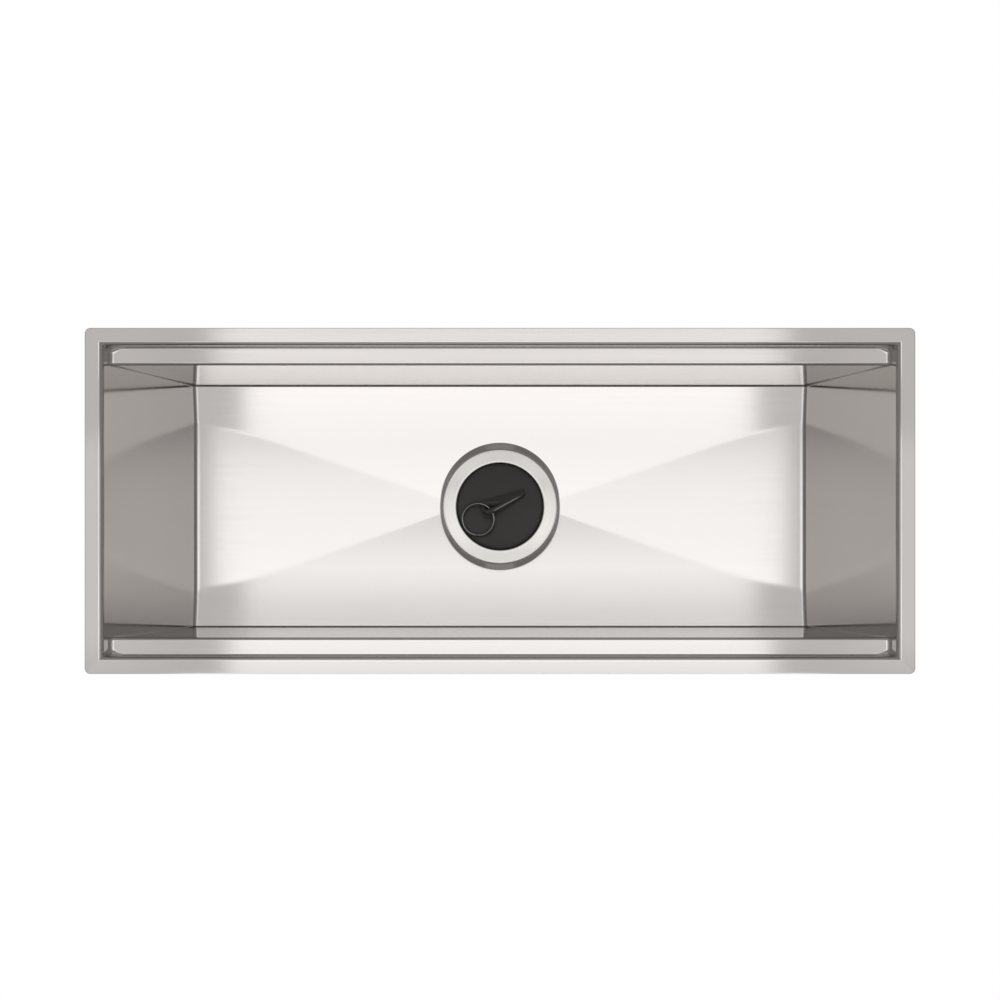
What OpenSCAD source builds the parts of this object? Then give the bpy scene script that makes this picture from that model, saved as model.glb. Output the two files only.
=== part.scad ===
// Recessed trough sink: folded and welded stainless sheet, with clips, sound pads and a plugged waste.
// Origin: the middle of the opening, level with the top of the rim.
// X runs along the trough, Y towards the back, Z up.

/* [Rim] */
// Length of the rim over all
rim_length = 720; // [640:5:900]
// Width of the rim over all
rim_width = 300; // [290:5:420]
// Width of the flat flange, out to its edge
flange_width = 15; // [14:0.5:25]
// Radius of the flange's outer corners in plan
corner_r = 5; // [1:0.5:10]
// Thickness of the steel sheet
sheet = 1.5; // [1:0.1:2]
// Outside radius of the flange's bend on the long sides
rim_bend_r = 4; // [3:0.5:6]
// Outside radius of the flange's bend at the ends
end_bend_r = 5; // [3:0.5:6]

/* [Bowl] */
// Depth from the rim to the floor beside the waste
bowl_depth = 190; // [150:5:230]
// Length of the floor between the end walls
floor_length = 605; // [520:5:640]
// Drop from the rim to the ledges
ledge_drop = 15; // [12:0.5:25]
// Width of each ledge
ledge_width = 15.5; // [12:0.5:20]
// Outside radius of the ledge's inner edge
ledge_bend_r = 3; // [2:0.5:5]
// Inside radius where the ledge meets the upper wall
ledge_root_r = 1.5; // [1:0.5:3]
// Rise of the floor from the waste to the foot of the end walls
floor_fall = 3; // [2:0.5:6]
// Half length of the level line that the creases start from
crease_start_x = 38; // [20:1:45]
// Distance of a crease's outer end from the centre line
crease_end_y = 92; // [70:1:110]

/* [Waste] */
// Radius of the waste hole in the floor, for a 90 mm waste
waste_hole_r = 45; // [45:0.5:46]
// Depth of the level seat below the floor
seat_drop = 2.5; // [2:0.5:4]
// Outer radius of the level seat
seat_r = 53.4; // [50:0.1:54]
// Slope of the dished edge of the recess, in degrees
dish_angle = 22; // [15:1:35]
// Radius of the waste flange
waste_flange_r = 57; // [55:0.5:58]
// Depth of the cup below the floor
cup_depth = 46; // [40:1:60]
// Length of the threaded spigot below the cup
spigot_length = 20; // [16:1:25]
// Outside radius of the tailpiece, for a 38.1 mm tube
tail_r = 19.05; // [16:0.05:20]
// Length of tailpiece left bare below its nut
tail_length = 78; // [50:1:120]

/* [Plug] */
// Radius of the flat top of the plug
plug_top_r = 38.6; // [36:0.1:39]
// Height of the plug's top above the floor
plug_proud = 1; // [0:0.5:3]
// Height of the tab's eye above its root, along the tab
eye_height = 11; // [9:0.5:13]
// Radius of the round end of the tab
lobe_r = 7.5; // [7:0.5:8]
// Thickness of the tab
tab_thick = 4; // [3:0.5:4]
// Lean of the tab from upright, in degrees
tab_lean = 42; // [30:1:50]
// Mean radius of the pull ring
ring_r = 15.8; // [15:0.1:16]
// Radius of the ring's wire
wire_r = 1.5; // [1:0.1:1.5]

/* [Clips and pads] */
// Distance between neighbouring clips on one side
clip_pitch = 180; // [120:5:190]
// Distance of a clip's bolt from the wall that carries it
clip_reach = 9; // [9:0.5:10]
// Length of a claw from its bolt to its tip
claw_length = 32; // [25:1:40]
// Thickness of the sound pads
pad_thick = 3; // [2:0.5:4]
// Thickness of the foam under the flange
foam_thick = 2; // [1:0.5:4]

/* [Hidden] */
$fn = 96;

// Longer than the whole part, for cutting
big = 1000;
// Half sizes of the rim, the opening and the floor
rim_x = rim_length / 2;
rim_y = rim_width / 2;
open_x = rim_x - flange_width;
open_y = rim_y - flange_width;
floor_x = floor_length / 2;
floor_y = open_y - ledge_width;
floor_z = -bowl_depth;

// Slopes of the floor's end panels and of its front and back panels
slope_x = floor_fall / (floor_x - crease_start_x);
slope_y = floor_fall / crease_end_y;
// The end walls lean by this angle, because the floor is shorter than the opening
end_lean = atan((open_x - floor_x) / (bowl_depth - floor_fall));
mitre_tilt = atan(tan(end_lean) / sqrt(2));
// The corners are mitred down to here, below the bends
mitre_depth = 8;

// Feet of the walls, level with the underside of the floor
long_foot_z = floor_z + slope_y * floor_y - sheet;
end_foot_z = floor_z + floor_fall - sheet;

// Waste, from the top down
seat_z = floor_z - seat_drop;
seal_thick = 1.5;
seal_r = 53;
thread_r = 44.6;
under_z = seat_z - sheet;
washer_thick = 3;
fibre_thick = 1;
locknut_thick = 8;
locknut_r = 52;
cup_z = floor_z - cup_depth;
cup_out_r = 43;
cup_in_r = 41.8;
shoulder_r = 38;
shoulder_z = floor_z - 40;
outlet_r = 20.2;
spigot_r = 23.9;
spigot_z = cup_z - spigot_length;
plate_thick = 1.2;
throat_top = [43.5, floor_z - 1];
throat_foot = [cup_in_r, floor_z - 13];
tail_washer_thick = 2;
tail_flange_thick = 1.5;
tail_flange_r = 22.8;
nut_lip_thick = 2.5;
nut_z = spigot_z - tail_washer_thick - tail_flange_thick - nut_lip_thick;
tail_z = nut_z - tail_length;

// Plug and ring. Plan positions are taken from the middle of the waste.
plug_z = floor_z + plug_proud;
plug_gap = 0.35;
tab_turn = 15.6;
tab_root = [-4, 7.5];
tab_eye_s = -9;
tab_right_s = 26.7;
tab_right_h = 6;
eye_r = 3.4;
// The eye lies this far out of the root line in plan, and this far above the plug
eye_out = eye_height * sin(tab_lean);
eye_up = eye_height * cos(tab_lean);
eye_x = tab_root[0] + tab_eye_s * cos(tab_turn) + eye_out * sin(tab_turn);
eye_y = tab_root[1] + tab_eye_s * sin(tab_turn) - eye_out * cos(tab_turn);
// The ring lies towards this azimuth from the eye, tilted down until it rests on the plug
ring_azimuth = 225;
ring_rest_gap = 0.3;
ring_tilt = asin((eye_up - wire_r - ring_rest_gap) / (2 * ring_r));

// Clips: a bolt hangs from each bracket, carries a claw and ends in a wing nut
clip_y = floor_y + sheet + clip_reach;
bolt_r = 2.5;
claw_hole_r = 2.58;
bracket_thick = 2;
bracket_length = 24;
bracket_z = -24;
claw_thick = 3;
claw_z = -38;
claw_width = 13;
claw_lip = 8;
wing_z = claw_z - 5;
bolt_z = -62;

steel = "#c9c7c3";
dull_steel = "#a9a9a6";
rubber = "#373534";
pad_grey = "#4a4c4e";
foam_black = "#2e2e2e";

// A quarter of a ring in 2D, in the quadrant that turn picks
module quarter_ring(r_out, thick, turn) {
    rotate(turn) intersection() {
        difference() {
            circle(r_out);
            circle(r_out - thick);
        }
        square(r_out);
    }
}

// A level ring
module washer(r_in, r_out, z_low, thick) {
    translate([0, 0, z_low]) difference() {
        cylinder(r = r_out, h = thick);
        translate([0, 0, -1]) cylinder(r = r_in, h = thick + 2);
    }
}

// Plan of the flange, with round corners
module rim_outline() {
    square([rim_length - 2 * corner_r, rim_width], center = true);
    square([rim_length, rim_width - 2 * corner_r], center = true);
    for (x = [-1, 1], y = [-1, 1])
        translate([x * (rim_x - corner_r), y * (rim_y - corner_r)]) circle(corner_r);
}

// Everything beyond the right end wall's wet face
module beyond_end() {
    translate([open_x, 0, 0]) rotate([0, end_lean, 0]) translate([0, -big / 2, -big / 2]) cube([big, big, big]);
}

// The upper part of the corners, through the bends, that a mitre gives to the right end panel
module mitre_zone() {
    intersection() {
        intersection_for (side = [0, 1]) mirror([0, side, 0]) translate([open_x, open_y, 0])
            rotate([0, mitre_tilt, -45]) translate([0, -big / 2, -big / 2]) cube([big, big, big]);
        translate([0, -big / 2, -mitre_depth]) cube([big, big, big]);
    }
}

// All of the corners that belongs to the right end panel: below the mitre the long walls butt against it
module end_zone() {
    mitre_zone();
    intersection() {
        beyond_end();
        translate([0, -big / 2, -mitre_depth - big]) cube([big, big, big]);
    }
}

// Section of a long side, out from the middle of the bowl
module long_section() {
    translate([open_y + rim_bend_r, -sheet]) square([flange_width - rim_bend_r, sheet]);
    translate([open_y + rim_bend_r, -rim_bend_r]) quarter_ring(rim_bend_r, sheet, 90);
    translate([open_y, ledge_root_r - ledge_drop]) square([sheet, ledge_drop - ledge_root_r - rim_bend_r]);
    translate([open_y - ledge_root_r, ledge_root_r - ledge_drop])
        quarter_ring(ledge_root_r + sheet, sheet, 270);
    translate([floor_y + ledge_bend_r, -ledge_drop - sheet])
        square([ledge_width - ledge_bend_r - ledge_root_r, sheet]);
    translate([floor_y + ledge_bend_r, -ledge_drop - ledge_bend_r]) quarter_ring(ledge_bend_r, sheet, 90);
    translate([floor_y, long_foot_z]) square([sheet, -ledge_drop - ledge_bend_r - long_foot_z]);
}

// Section of the right end, out from the middle of the bowl
module end_section() {
    bend_x = open_x + end_bend_r * tan((90 - end_lean) / 2);
    inward = [-cos(end_lean), sin(end_lean)];
    wall_top = [bend_x, -end_bend_r] + end_bend_r * inward;
    foot = [open_x + end_foot_z * tan(end_lean), end_foot_z];
    translate([bend_x, -sheet]) square([rim_x - bend_x, sheet]);
    intersection() {
        translate([bend_x, -end_bend_r]) difference() {
            circle(end_bend_r);
            circle(end_bend_r - sheet);
        }
        polygon([[bend_x, -end_bend_r], [bend_x, end_bend_r], wall_top + 4 * inward, wall_top]);
    }
    polygon([wall_top, wall_top - sheet * inward, foot + [sheet / cos(end_lean), 0], foot]);
}

module long_panel() {
    intersection() {
        difference() {
            rotate([90, 0, 90]) linear_extrude(rim_length, center = true) long_section();
            end_zone();
            mirror([1, 0, 0]) end_zone();
        }
        translate([0, 0, -big / 2]) linear_extrude(big) rim_outline();
    }
}

module end_panel() {
    upper_half = open_y + sheet;
    lower_half = floor_y + sheet;
    ledge_z = -ledge_drop - sheet;
    intersection() {
        rotate([90, 0, 0]) linear_extrude(rim_width, center = true) end_section();
        mitre_zone();
        translate([0, 0, -big / 2]) linear_extrude(big) rim_outline();
    }
    intersection() {
        rotate([90, 0, 0]) linear_extrude(rim_width, center = true) end_section();
        union() {
            translate([0, -upper_half, ledge_z]) cube([rim_x, 2 * upper_half, -mitre_depth - ledge_z]);
            translate([0, -lower_half, end_foot_z]) cube([rim_x, 2 * lower_half, ledge_z - end_foot_z]);
        }
    }
}

module back_panel() {
    color(steel) long_panel();
}

module front_panel() {
    color(steel) mirror([0, 1, 0]) long_panel();
}

module right_end_panel() {
    color(steel) end_panel();
}

module left_end_panel() {
    color(steel) mirror([1, 0, 0]) end_panel();
}

// Everything above the creased floor's wet face, lowered by drop
module above_floor(drop) {
    rise_x = slope_x * (rim_x - crease_start_x);
    rise_y = slope_y * rim_y;
    translate([0, 0, floor_z - drop]) intersection() {
        rotate([90, 0, 0]) linear_extrude(rim_width, center = true)
            polygon([[-rim_x, rise_x], [-crease_start_x, 0], [crease_start_x, 0], [rim_x, rise_x],
                [rim_x, bowl_depth], [-rim_x, bowl_depth]]);
        rotate([90, 0, 90]) linear_extrude(rim_length, center = true)
            polygon([[-rim_y, rise_y], [0, 0], [rim_y, rise_y], [rim_y, bowl_depth], [-rim_y, bowl_depth]]);
    }
}

// A layer that follows the floor, from one drop below its wet face to another
module floor_layer(drop, thick) {
    difference() {
        above_floor(drop + thick);
        above_floor(drop);
    }
}

// The dished recess round the waste hole, lowered by drop
module dish(drop) {
    dish_rise = 8;
    translate([0, 0, seat_z - drop])
        cylinder(h = dish_rise, r1 = seat_r, r2 = seat_r + dish_rise / tan(dish_angle));
}

module floor_pan() {
    color(steel) difference() {
        union() {
            intersection() {
                floor_layer(0, sheet);
                translate([-rim_x, -floor_y, floor_z - sheet]) cube([rim_length, 2 * floor_y, bowl_depth]);
            }
            difference() {
                dish(sheet);
                above_floor(0);
            }
        }
        dish(0);
        beyond_end();
        mirror([1, 0, 0]) beyond_end();
        translate([0, 0, floor_z - cup_depth]) cylinder(r = waste_hole_r, h = cup_depth);
    }
}

// Foam strips, butted at the corners
module rim_seal() {
    inset = 2;
    strip = 8;
    long = rim_length - 2 * inset;
    short = rim_width - 2 * (inset + strip);
    color(foam_black) translate([0, 0, -sheet - foam_thick]) {
        for (side = [-1, 1]) {
            translate([-long / 2, side * (rim_y - inset - strip / 2) - strip / 2, 0])
                cube([long, strip, foam_thick]);
            translate([side * (rim_x - inset - strip / 2) - strip / 2, -short / 2, 0])
                cube([strip, short, foam_thick]);
        }
    }
}

module long_pad() {
    pad_length = 460;
    pad_height = 90;
    pad_top = -66;
    color(pad_grey) translate([-pad_length / 2, floor_y + sheet, pad_top - pad_height])
        cube([pad_length, pad_thick, pad_height]);
}

module back_pad() {
    long_pad();
}

module front_pad() {
    mirror([0, 1, 0]) long_pad();
}

module right_end_pad() {
    pad_width = 170;
    pad_height = 100;
    pad_top = 50;
    color(pad_grey) translate([open_x, 0, 0]) rotate([0, end_lean, 0])
        translate([sheet, -pad_width / 2, -pad_top - pad_height]) cube([pad_thick, pad_width, pad_height]);
}

module left_end_pad() {
    mirror([1, 0, 0]) right_end_pad();
}

module floor_pad_right() {
    pad_start = 76;
    pad_end = 282;
    pad_half = 96;
    color(pad_grey) intersection() {
        floor_layer(sheet, pad_thick);
        translate([pad_start, -pad_half, floor_z - big / 2]) cube([pad_end - pad_start, 2 * pad_half, big]);
    }
}

module floor_pad_left() {
    mirror([1, 0, 0]) floor_pad_right();
}

// Places its children at a clip: side is 1 at the back and -1 in front, number runs from 1 on the left
module at_clip(side, number) {
    translate([(number - 2.5) * clip_pitch, side * clip_y, 0]) children();
}

module at_all_clips() {
    for (side = [-1, 1], number = [1:4]) at_clip(side, number) children();
}

// An angle welded to the wall, with its foot out towards the cut-out
module clip_brackets() {
    leg_height = 20;
    foot_reach = 7;
    color(dull_steel) for (side = [0, 1]) mirror([0, side, 0]) for (number = [1:4])
        at_clip(1, number) difference() {
            union() {
                translate([-bracket_length / 2, -clip_reach, bracket_z - leg_height])
                    cube([bracket_length, bracket_thick, leg_height]);
                translate([-bracket_length / 2, -clip_reach, bracket_z - bracket_thick])
                    cube([bracket_length, clip_reach + foot_reach, bracket_thick]);
            }
            translate([0, 0, bracket_z - bracket_thick - 1]) cylinder(r = bolt_r, h = bracket_thick + 2);
        }
}

module clip_bolts() {
    head_r = 4.6;
    head_height = 3.5;
    color(dull_steel) at_all_clips() {
        translate([0, 0, bolt_z]) cylinder(r = bolt_r, h = bracket_z - bolt_z);
        translate([0, 0, bracket_z]) cylinder(r = head_r, h = head_height, $fn = 6);
    }
}

module clip_nuts() {
    hub_r = 4.8;
    wing_span = 22;
    wing_height = 9;
    wing_thick = 2;
    color(dull_steel) at_all_clips() translate([0, 0, wing_z]) difference() {
        union() {
            cylinder(r = hub_r, h = claw_z - wing_z);
            translate([-wing_span / 2, -wing_thick / 2, claw_z - wing_z - wing_height])
                cube([wing_span, wing_thick, wing_height - 1]);
        }
        translate([0, 0, -wing_height]) cylinder(r = bolt_r, h = 3 * wing_height);
    }
}

// A claw lies along the wall at rest, and its toothed tip swings out under the worktop
module claw(side, number) {
    heel_r = 6.5;
    tooth = 3;
    color(dull_steel) at_clip(side, number) difference() {
        union() {
            translate([0, 0, claw_z]) cylinder(r = heel_r, h = claw_thick);
            translate([0, -claw_width / 2, claw_z]) cube([claw_length, claw_width, claw_thick]);
            translate([claw_length - claw_thick, -claw_width / 2, claw_z])
                cube([claw_thick, claw_width, claw_lip]);
        }
        translate([0, 0, claw_z - 1]) cylinder(r = claw_hole_r, h = claw_thick + 2);
        for (y = [-1, 1]) translate([claw_length - claw_thick / 2, y * claw_width / 4, claw_z + claw_lip])
            rotate([45, 0, 0]) cube([2 * claw_thick, tooth / sqrt(2), tooth / sqrt(2)], center = true);
    }
}

module claw_back_1() { claw(1, 1); }
module claw_back_2() { claw(1, 2); }
module claw_back_3() { claw(1, 3); }
module claw_back_4() { claw(1, 4); }
module claw_front_1() { claw(-1, 1); }
module claw_front_2() { claw(-1, 2); }
module claw_front_3() { claw(-1, 3); }
module claw_front_4() { claw(-1, 4); }

module waste_seal() {
    color(rubber) washer(waste_hole_r + 0.4, seal_r, seat_z, seal_thick);
}

// Flange, tapered throat and cup in one pressing, with a shoulder for the strainer
module waste_body() {
    flange_z = seat_z + seal_thick;
    lip_z = floor_z + 0.6;
    lip_in_r = throat_top[0] + 1.7;
    lip_out_r = 48;
    skirt_r = waste_flange_r - 1.5;
    thread_foot_z = floor_z - 28;
    bottom_bend = 4;
    bottom_thick = 2;
    color(steel) rotate_extrude() polygon([throat_top, [throat_top[0] + 0.5, floor_z + 0.1],
        [lip_in_r, lip_z], [lip_out_r, lip_z], [skirt_r, floor_z],
        [waste_flange_r, floor_z - 0.4], [waste_flange_r, floor_z - 0.9],
        [seal_r, flange_z], [thread_r, flange_z], [thread_r, thread_foot_z],
        [cup_out_r, thread_foot_z - thread_r + cup_out_r], [cup_out_r, cup_z + bottom_bend],
        [cup_out_r - bottom_bend, cup_z], [outlet_r, cup_z], [outlet_r, cup_z + bottom_thick],
        [shoulder_r, shoulder_z - bottom_thick], [shoulder_r, shoulder_z],
        [cup_in_r, shoulder_z], throat_foot]);
}

// Threaded tube brazed under the cup
module waste_spigot() {
    color(steel) washer(outlet_r, spigot_r, spigot_z, spigot_length);
}

// Three bars across the spigot, with a threaded boss for the strainer's screw
module outlet_spider() {
    bar_thick = 4;
    bar_width = 3;
    top_z = cup_z - 1;
    boss_r = 5;
    boss_height = 9;
    color(steel) difference() {
        union() {
            translate([0, 0, top_z - bar_thick]) intersection() {
                cylinder(r = outlet_r, h = bar_thick);
                for (turn = [0, 60, 120]) rotate(turn) translate([-spigot_r, -bar_width / 2, 0])
                    cube([2 * spigot_r, bar_width, bar_thick]);
            }
            translate([0, 0, top_z - boss_height]) cylinder(r = boss_r, h = boss_height);
        }
        translate([0, 0, top_z - boss_height - 1]) cylinder(r = bolt_r, h = boss_height + 2);
    }
}

module waste_washer() {
    color(rubber) washer(waste_hole_r + 0.3, seal_r, under_z - washer_thick, washer_thick);
}

module friction_ring() {
    color("#8f6b45") washer(waste_hole_r + 0.3, seal_r, under_z - washer_thick - fibre_thick, fibre_thick);
}

// Nut with lugs for a spanner
module waste_locknut() {
    nut_low = under_z - washer_thick - fibre_thick - locknut_thick;
    body_r = locknut_r - 3;
    collar = 2;
    lugs = 8;
    lug_width = 8;
    lug_reach = 2.5;
    color("#b9b2a4") difference() {
        union() {
            translate([0, 0, nut_low]) cylinder(r = body_r, h = locknut_thick);
            translate([0, 0, nut_low + locknut_thick - collar]) cylinder(r = locknut_r, h = collar);
            for (i = [0:lugs - 1]) rotate(i * 360 / lugs) translate([body_r - 2, -lug_width / 2, nut_low])
                cube([2 + lug_reach, lug_width, locknut_thick]);
        }
        translate([0, 0, nut_low - 1]) cylinder(r = thread_r, h = locknut_thick + 2);
    }
}

// Perforated plate on the cup's shoulder: rings of round holes
module strainer_plate() {
    hole_r = 2.6;
    color(steel) difference() {
        translate([0, 0, shoulder_z]) cylinder(r = cup_in_r - 0.3, h = plate_thick);
        translate([0, 0, shoulder_z - 1]) {
            cylinder(r = bolt_r, h = plate_thick + 2);
            for (ring = [1:4], i = [0:6 * ring - 1]) rotate(i * 60 / ring) translate([8 * ring, 0, 0])
                cylinder(r = hole_r, h = plate_thick + 2, $fn = 24);
        }
    }
}

module strainer_screw() {
    head_z = shoulder_z + plate_thick;
    head_height = 2.4;
    head_foot_r = 5;
    head_top_r = 3.6;
    slot = 1.2;
    screw_z = cup_z - 9;
    color(steel) {
        translate([0, 0, screw_z]) cylinder(r = bolt_r, h = head_z - screw_z);
        difference() {
            translate([0, 0, head_z]) cylinder(r1 = head_foot_r, r2 = head_top_r, h = head_height);
            translate([-head_foot_r - 1, -slot / 2, head_z + head_height - slot])
                cube([2 * head_foot_r + 2, slot, 2 * slot]);
        }
    }
}

module tailpiece_washer() {
    color(rubber) washer(tail_r + 0.25, spigot_r - 0.2, spigot_z - tail_washer_thick, tail_washer_thick);
}

// Thin tube with a turned-out flange at its top. Its neck is rolled in a little, clear of the nut's lip.
module tailpiece() {
    tube_wall = 1.2;
    neck_r = tail_r - 0.35;
    neck_z = nut_z - 3;
    flange_z = spigot_z - tail_washer_thick - tail_flange_thick;
    color(steel) difference() {
        union() {
            translate([0, 0, tail_z]) cylinder(r = tail_r, h = neck_z - tail_z);
            translate([0, 0, neck_z]) cylinder(r = neck_r, h = flange_z - neck_z);
            translate([0, 0, flange_z]) cylinder(r = tail_flange_r, h = tail_flange_thick);
        }
        translate([0, 0, tail_z - 1]) cylinder(r = tail_r - tube_wall, h = spigot_z - tail_z);
    }
}

// Ribbed union nut on the spigot's thread, with a lip under the tailpiece's flange
module coupling_nut() {
    nut_r = 28;
    ribs = 12;
    rib_width = 3;
    rib_reach = 1.5;
    nut_height = 20;
    color("#b9b2a4") difference() {
        union() {
            translate([0, 0, nut_z]) cylinder(r = nut_r, h = nut_height);
            for (i = [0:ribs - 1]) rotate(i * 360 / ribs) translate([nut_r - 1, -rib_width / 2, nut_z + 2])
                cube([1 + rib_reach, rib_width, nut_height - 4]);
        }
        translate([0, 0, nut_z - 1]) cylinder(r = tail_r + 0.25, h = nut_lip_thick + 2);
        translate([0, 0, nut_z + nut_lip_thick]) cylinder(r = spigot_r, h = nut_height);
    }
}

// Outline of the tab along its root and up its face: a round end over the eye, falling to a low end
module tab_outline() {
    low_r = 2.5;
    lobe = [tab_eye_s, eye_height];
    low = [tab_right_s, tab_right_h - low_r];
    run = low - lobe;
    distance = norm(run);
    // Direction out of the straight top edge, which is tangent to both round ends
    out_angle = atan2(run[1], run[0]) + acos((lobe_r - low_r) / distance);
    out = [cos(out_angle), sin(out_angle)];
    translate(lobe) circle(lobe_r);
    translate(low) circle(low_r);
    polygon([[tab_eye_s - lobe_r, -2], [tab_right_s + low_r, -2], low + [low_r, 0], low + low_r * out,
        lobe + lobe_r * out, lobe - [lobe_r, 0]]);
}

// Stands its children at the tab's root, leaning
module at_tab() {
    translate([tab_root[0], tab_root[1], plug_z]) rotate([0, 0, tab_turn]) rotate([tab_lean, 0, 0])
        rotate([90, 0, 0]) children();
}

// Moulded rubber plug, hollow below, with a tab pierced by the ring's eye
module drain_plug() {
    plug_foot = floor_z - 11;
    taper = (throat_top[0] - throat_foot[0]) / (throat_top[1] - throat_foot[1]);
    shoulder = [throat_top[0] - plug_gap - taper, throat_top[1] - 1];
    foot_r = throat_top[0] - plug_gap - taper * (throat_top[1] - plug_foot);
    color(rubber) difference() {
        union() {
            rotate_extrude() polygon([[0, plug_z], [plug_top_r, plug_z], [plug_top_r + 2.5, plug_z - 0.8],
                shoulder, [foot_r, plug_foot], [36, plug_foot], [35, floor_z - 5], [0, floor_z - 5]]);
            intersection() {
                at_tab() linear_extrude(tab_thick, center = true) tab_outline();
                translate([-big / 2, -big / 2, plug_z - 1]) cube(big);
            }
        }
        translate([eye_x, eye_y, plug_z + eye_up]) rotate([0, 90, ring_azimuth + 90])
            cylinder(r = eye_r, h = 40, center = true);
    }
}

module pull_ring() {
    color(steel) translate([eye_x, eye_y, plug_z + eye_up]) rotate([0, ring_tilt, ring_azimuth])
        translate([ring_r, 0, 0]) rotate_extrude() translate([ring_r, 0]) circle(wire_r, $fn = 48);
}

back_panel();
front_panel();
left_end_panel();
right_end_panel();
floor_pan();
rim_seal();
back_pad();
front_pad();
left_end_pad();
right_end_pad();
floor_pad_left();
floor_pad_right();
clip_brackets();
clip_bolts();
clip_nuts();
claw_back_1();
claw_back_2();
claw_back_3();
claw_back_4();
claw_front_1();
claw_front_2();
claw_front_3();
claw_front_4();
waste_seal();
waste_body();
waste_spigot();
outlet_spider();
waste_washer();
friction_ring();
waste_locknut();
strainer_plate();
strainer_screw();
tailpiece_washer();
tailpiece();
coupling_nut();
drain_plug();
pull_ring();
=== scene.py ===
import math

import bmesh
import bpy
import numpy as np
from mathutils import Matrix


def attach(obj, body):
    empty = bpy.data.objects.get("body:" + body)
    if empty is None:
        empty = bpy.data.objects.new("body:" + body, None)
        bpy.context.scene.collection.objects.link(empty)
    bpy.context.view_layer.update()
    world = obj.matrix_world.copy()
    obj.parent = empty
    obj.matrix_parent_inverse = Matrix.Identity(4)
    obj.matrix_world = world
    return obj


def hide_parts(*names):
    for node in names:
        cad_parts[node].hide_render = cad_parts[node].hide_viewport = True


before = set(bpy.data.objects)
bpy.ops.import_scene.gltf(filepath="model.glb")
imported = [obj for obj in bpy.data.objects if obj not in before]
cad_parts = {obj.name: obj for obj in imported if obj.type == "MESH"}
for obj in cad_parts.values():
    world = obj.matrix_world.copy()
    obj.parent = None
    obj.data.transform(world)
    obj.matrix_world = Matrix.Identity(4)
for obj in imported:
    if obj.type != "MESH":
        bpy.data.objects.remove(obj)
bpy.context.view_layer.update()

# Long panels
# Each long side is one folded sheet: flange, short upper wall, ledge and wall down to the floor.
# Satin stainless steel, 1.5 mm thick, brushed along the sink, mitred and welded at the corners.
RIM_X, RIM_Y, OPEN_X, OPEN_Y = 360.0, 150.0, 345.0, 135.0
SHEET, CORNER_R, EDGE_R, LONG_BEND_R = 1.5, 5.0, 0.3, 3.5
LEDGE_Z, LEDGE_R, ROOT_R = -15.0, 2.5, 1.5
WALL_Y, FLOOR_X, FLOOR_Z, FLOOR_FALL, CREASE_Y = 119.5, 302.3, -190.0, 3.5, 92.0
LEAN = math.atan((OPEN_X - FLOOR_X) / (-FLOOR_Z - FLOOR_FALL))
END_BEND_R, END_LEAD_R, END_LEAD, BEND_START = 5.5, 2.2, math.radians(22), math.radians(3)
# The points of a row are close together over its last stretch, in millimetres.
ROW_STEPS, END_STEPS, FLANGE_STRETCH, WALL_STRETCH, EDGE_STEPS = 19, 28, 24, 16, 6
# Marks to a metre. Scratches are drawn 0.4 mm wide and 70 mm long, and fainter streaks 2 mm wide,
# both coarser than the real ones so that they show.
SCRATCHES, SCRATCHES_ALONG, STREAKS, STREAKS_ALONG, STREAKS_ROUND = 2600, 14, 420, 5, 500
STEEL, SATIN_ROUGH, SATIN_SPREAD = "E4E0DD", 0.107, 0.75


def linear(colour):
    """An sRGB colour written as six hex digits, as linear RGBA."""
    parts = [int(colour[i:i + 2], 16) / 255 for i in (0, 2, 4)]
    return [p / 12.92 if p <= 0.04045 else ((p + 0.055) / 1.055) ** 2.4 for p in parts] + [1.0]


def feed(tree, node, inputs):
    """Gives a node's inputs their values, or links them to the sockets that feed them."""
    for key, value in inputs.items():
        if isinstance(value, bpy.types.NodeSocket):
            tree.links.new(value, node.inputs[key])
        else:
            node.inputs[key].default_value = value


def add(tree, kind, inputs=None, **settings):
    """Adds a shader node; an input is a value or the socket that feeds it."""
    made = tree.nodes.new("ShaderNode" + kind)
    for key, value in settings.items():
        setattr(made, key, value)
    feed(tree, made, inputs or {})
    return made


def shader(name):
    """A new material, its tree and its Principled shader."""
    made = bpy.data.materials.new(name)
    made.use_nodes = True
    tree = made.node_tree
    return made, tree, tree.nodes["Principled BSDF"]


def mesh_piece(name, points, faces, material, smooth=35):
    """A piece from points in millimetres; edges sharper than smooth degrees stay sharp."""
    data = bpy.data.meshes.new(name)
    data.from_pydata([[c * 0.001 for c in p] for p in points], [], faces)
    shape = bmesh.new()
    shape.from_mesh(data)
    bmesh.ops.remove_doubles(shape, verts=shape.verts, dist=1e-6)
    loose = [edge for edge in shape.edges if not edge.link_faces]
    bmesh.ops.delete(shape, geom=loose, context="EDGES")
    bmesh.ops.recalc_face_normals(shape, faces=shape.faces)
    for edge in shape.edges:
        edge.smooth = len(edge.link_faces) == 2 and edge.calc_face_angle(0) < math.radians(smooth)
    for face in shape.faces:
        face.smooth = True
    shape.to_mesh(data)
    shape.free()
    data.materials.append(material)
    piece = bpy.data.objects.new(name, data)
    bpy.context.scene.collection.objects.link(piece)
    return piece


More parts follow.
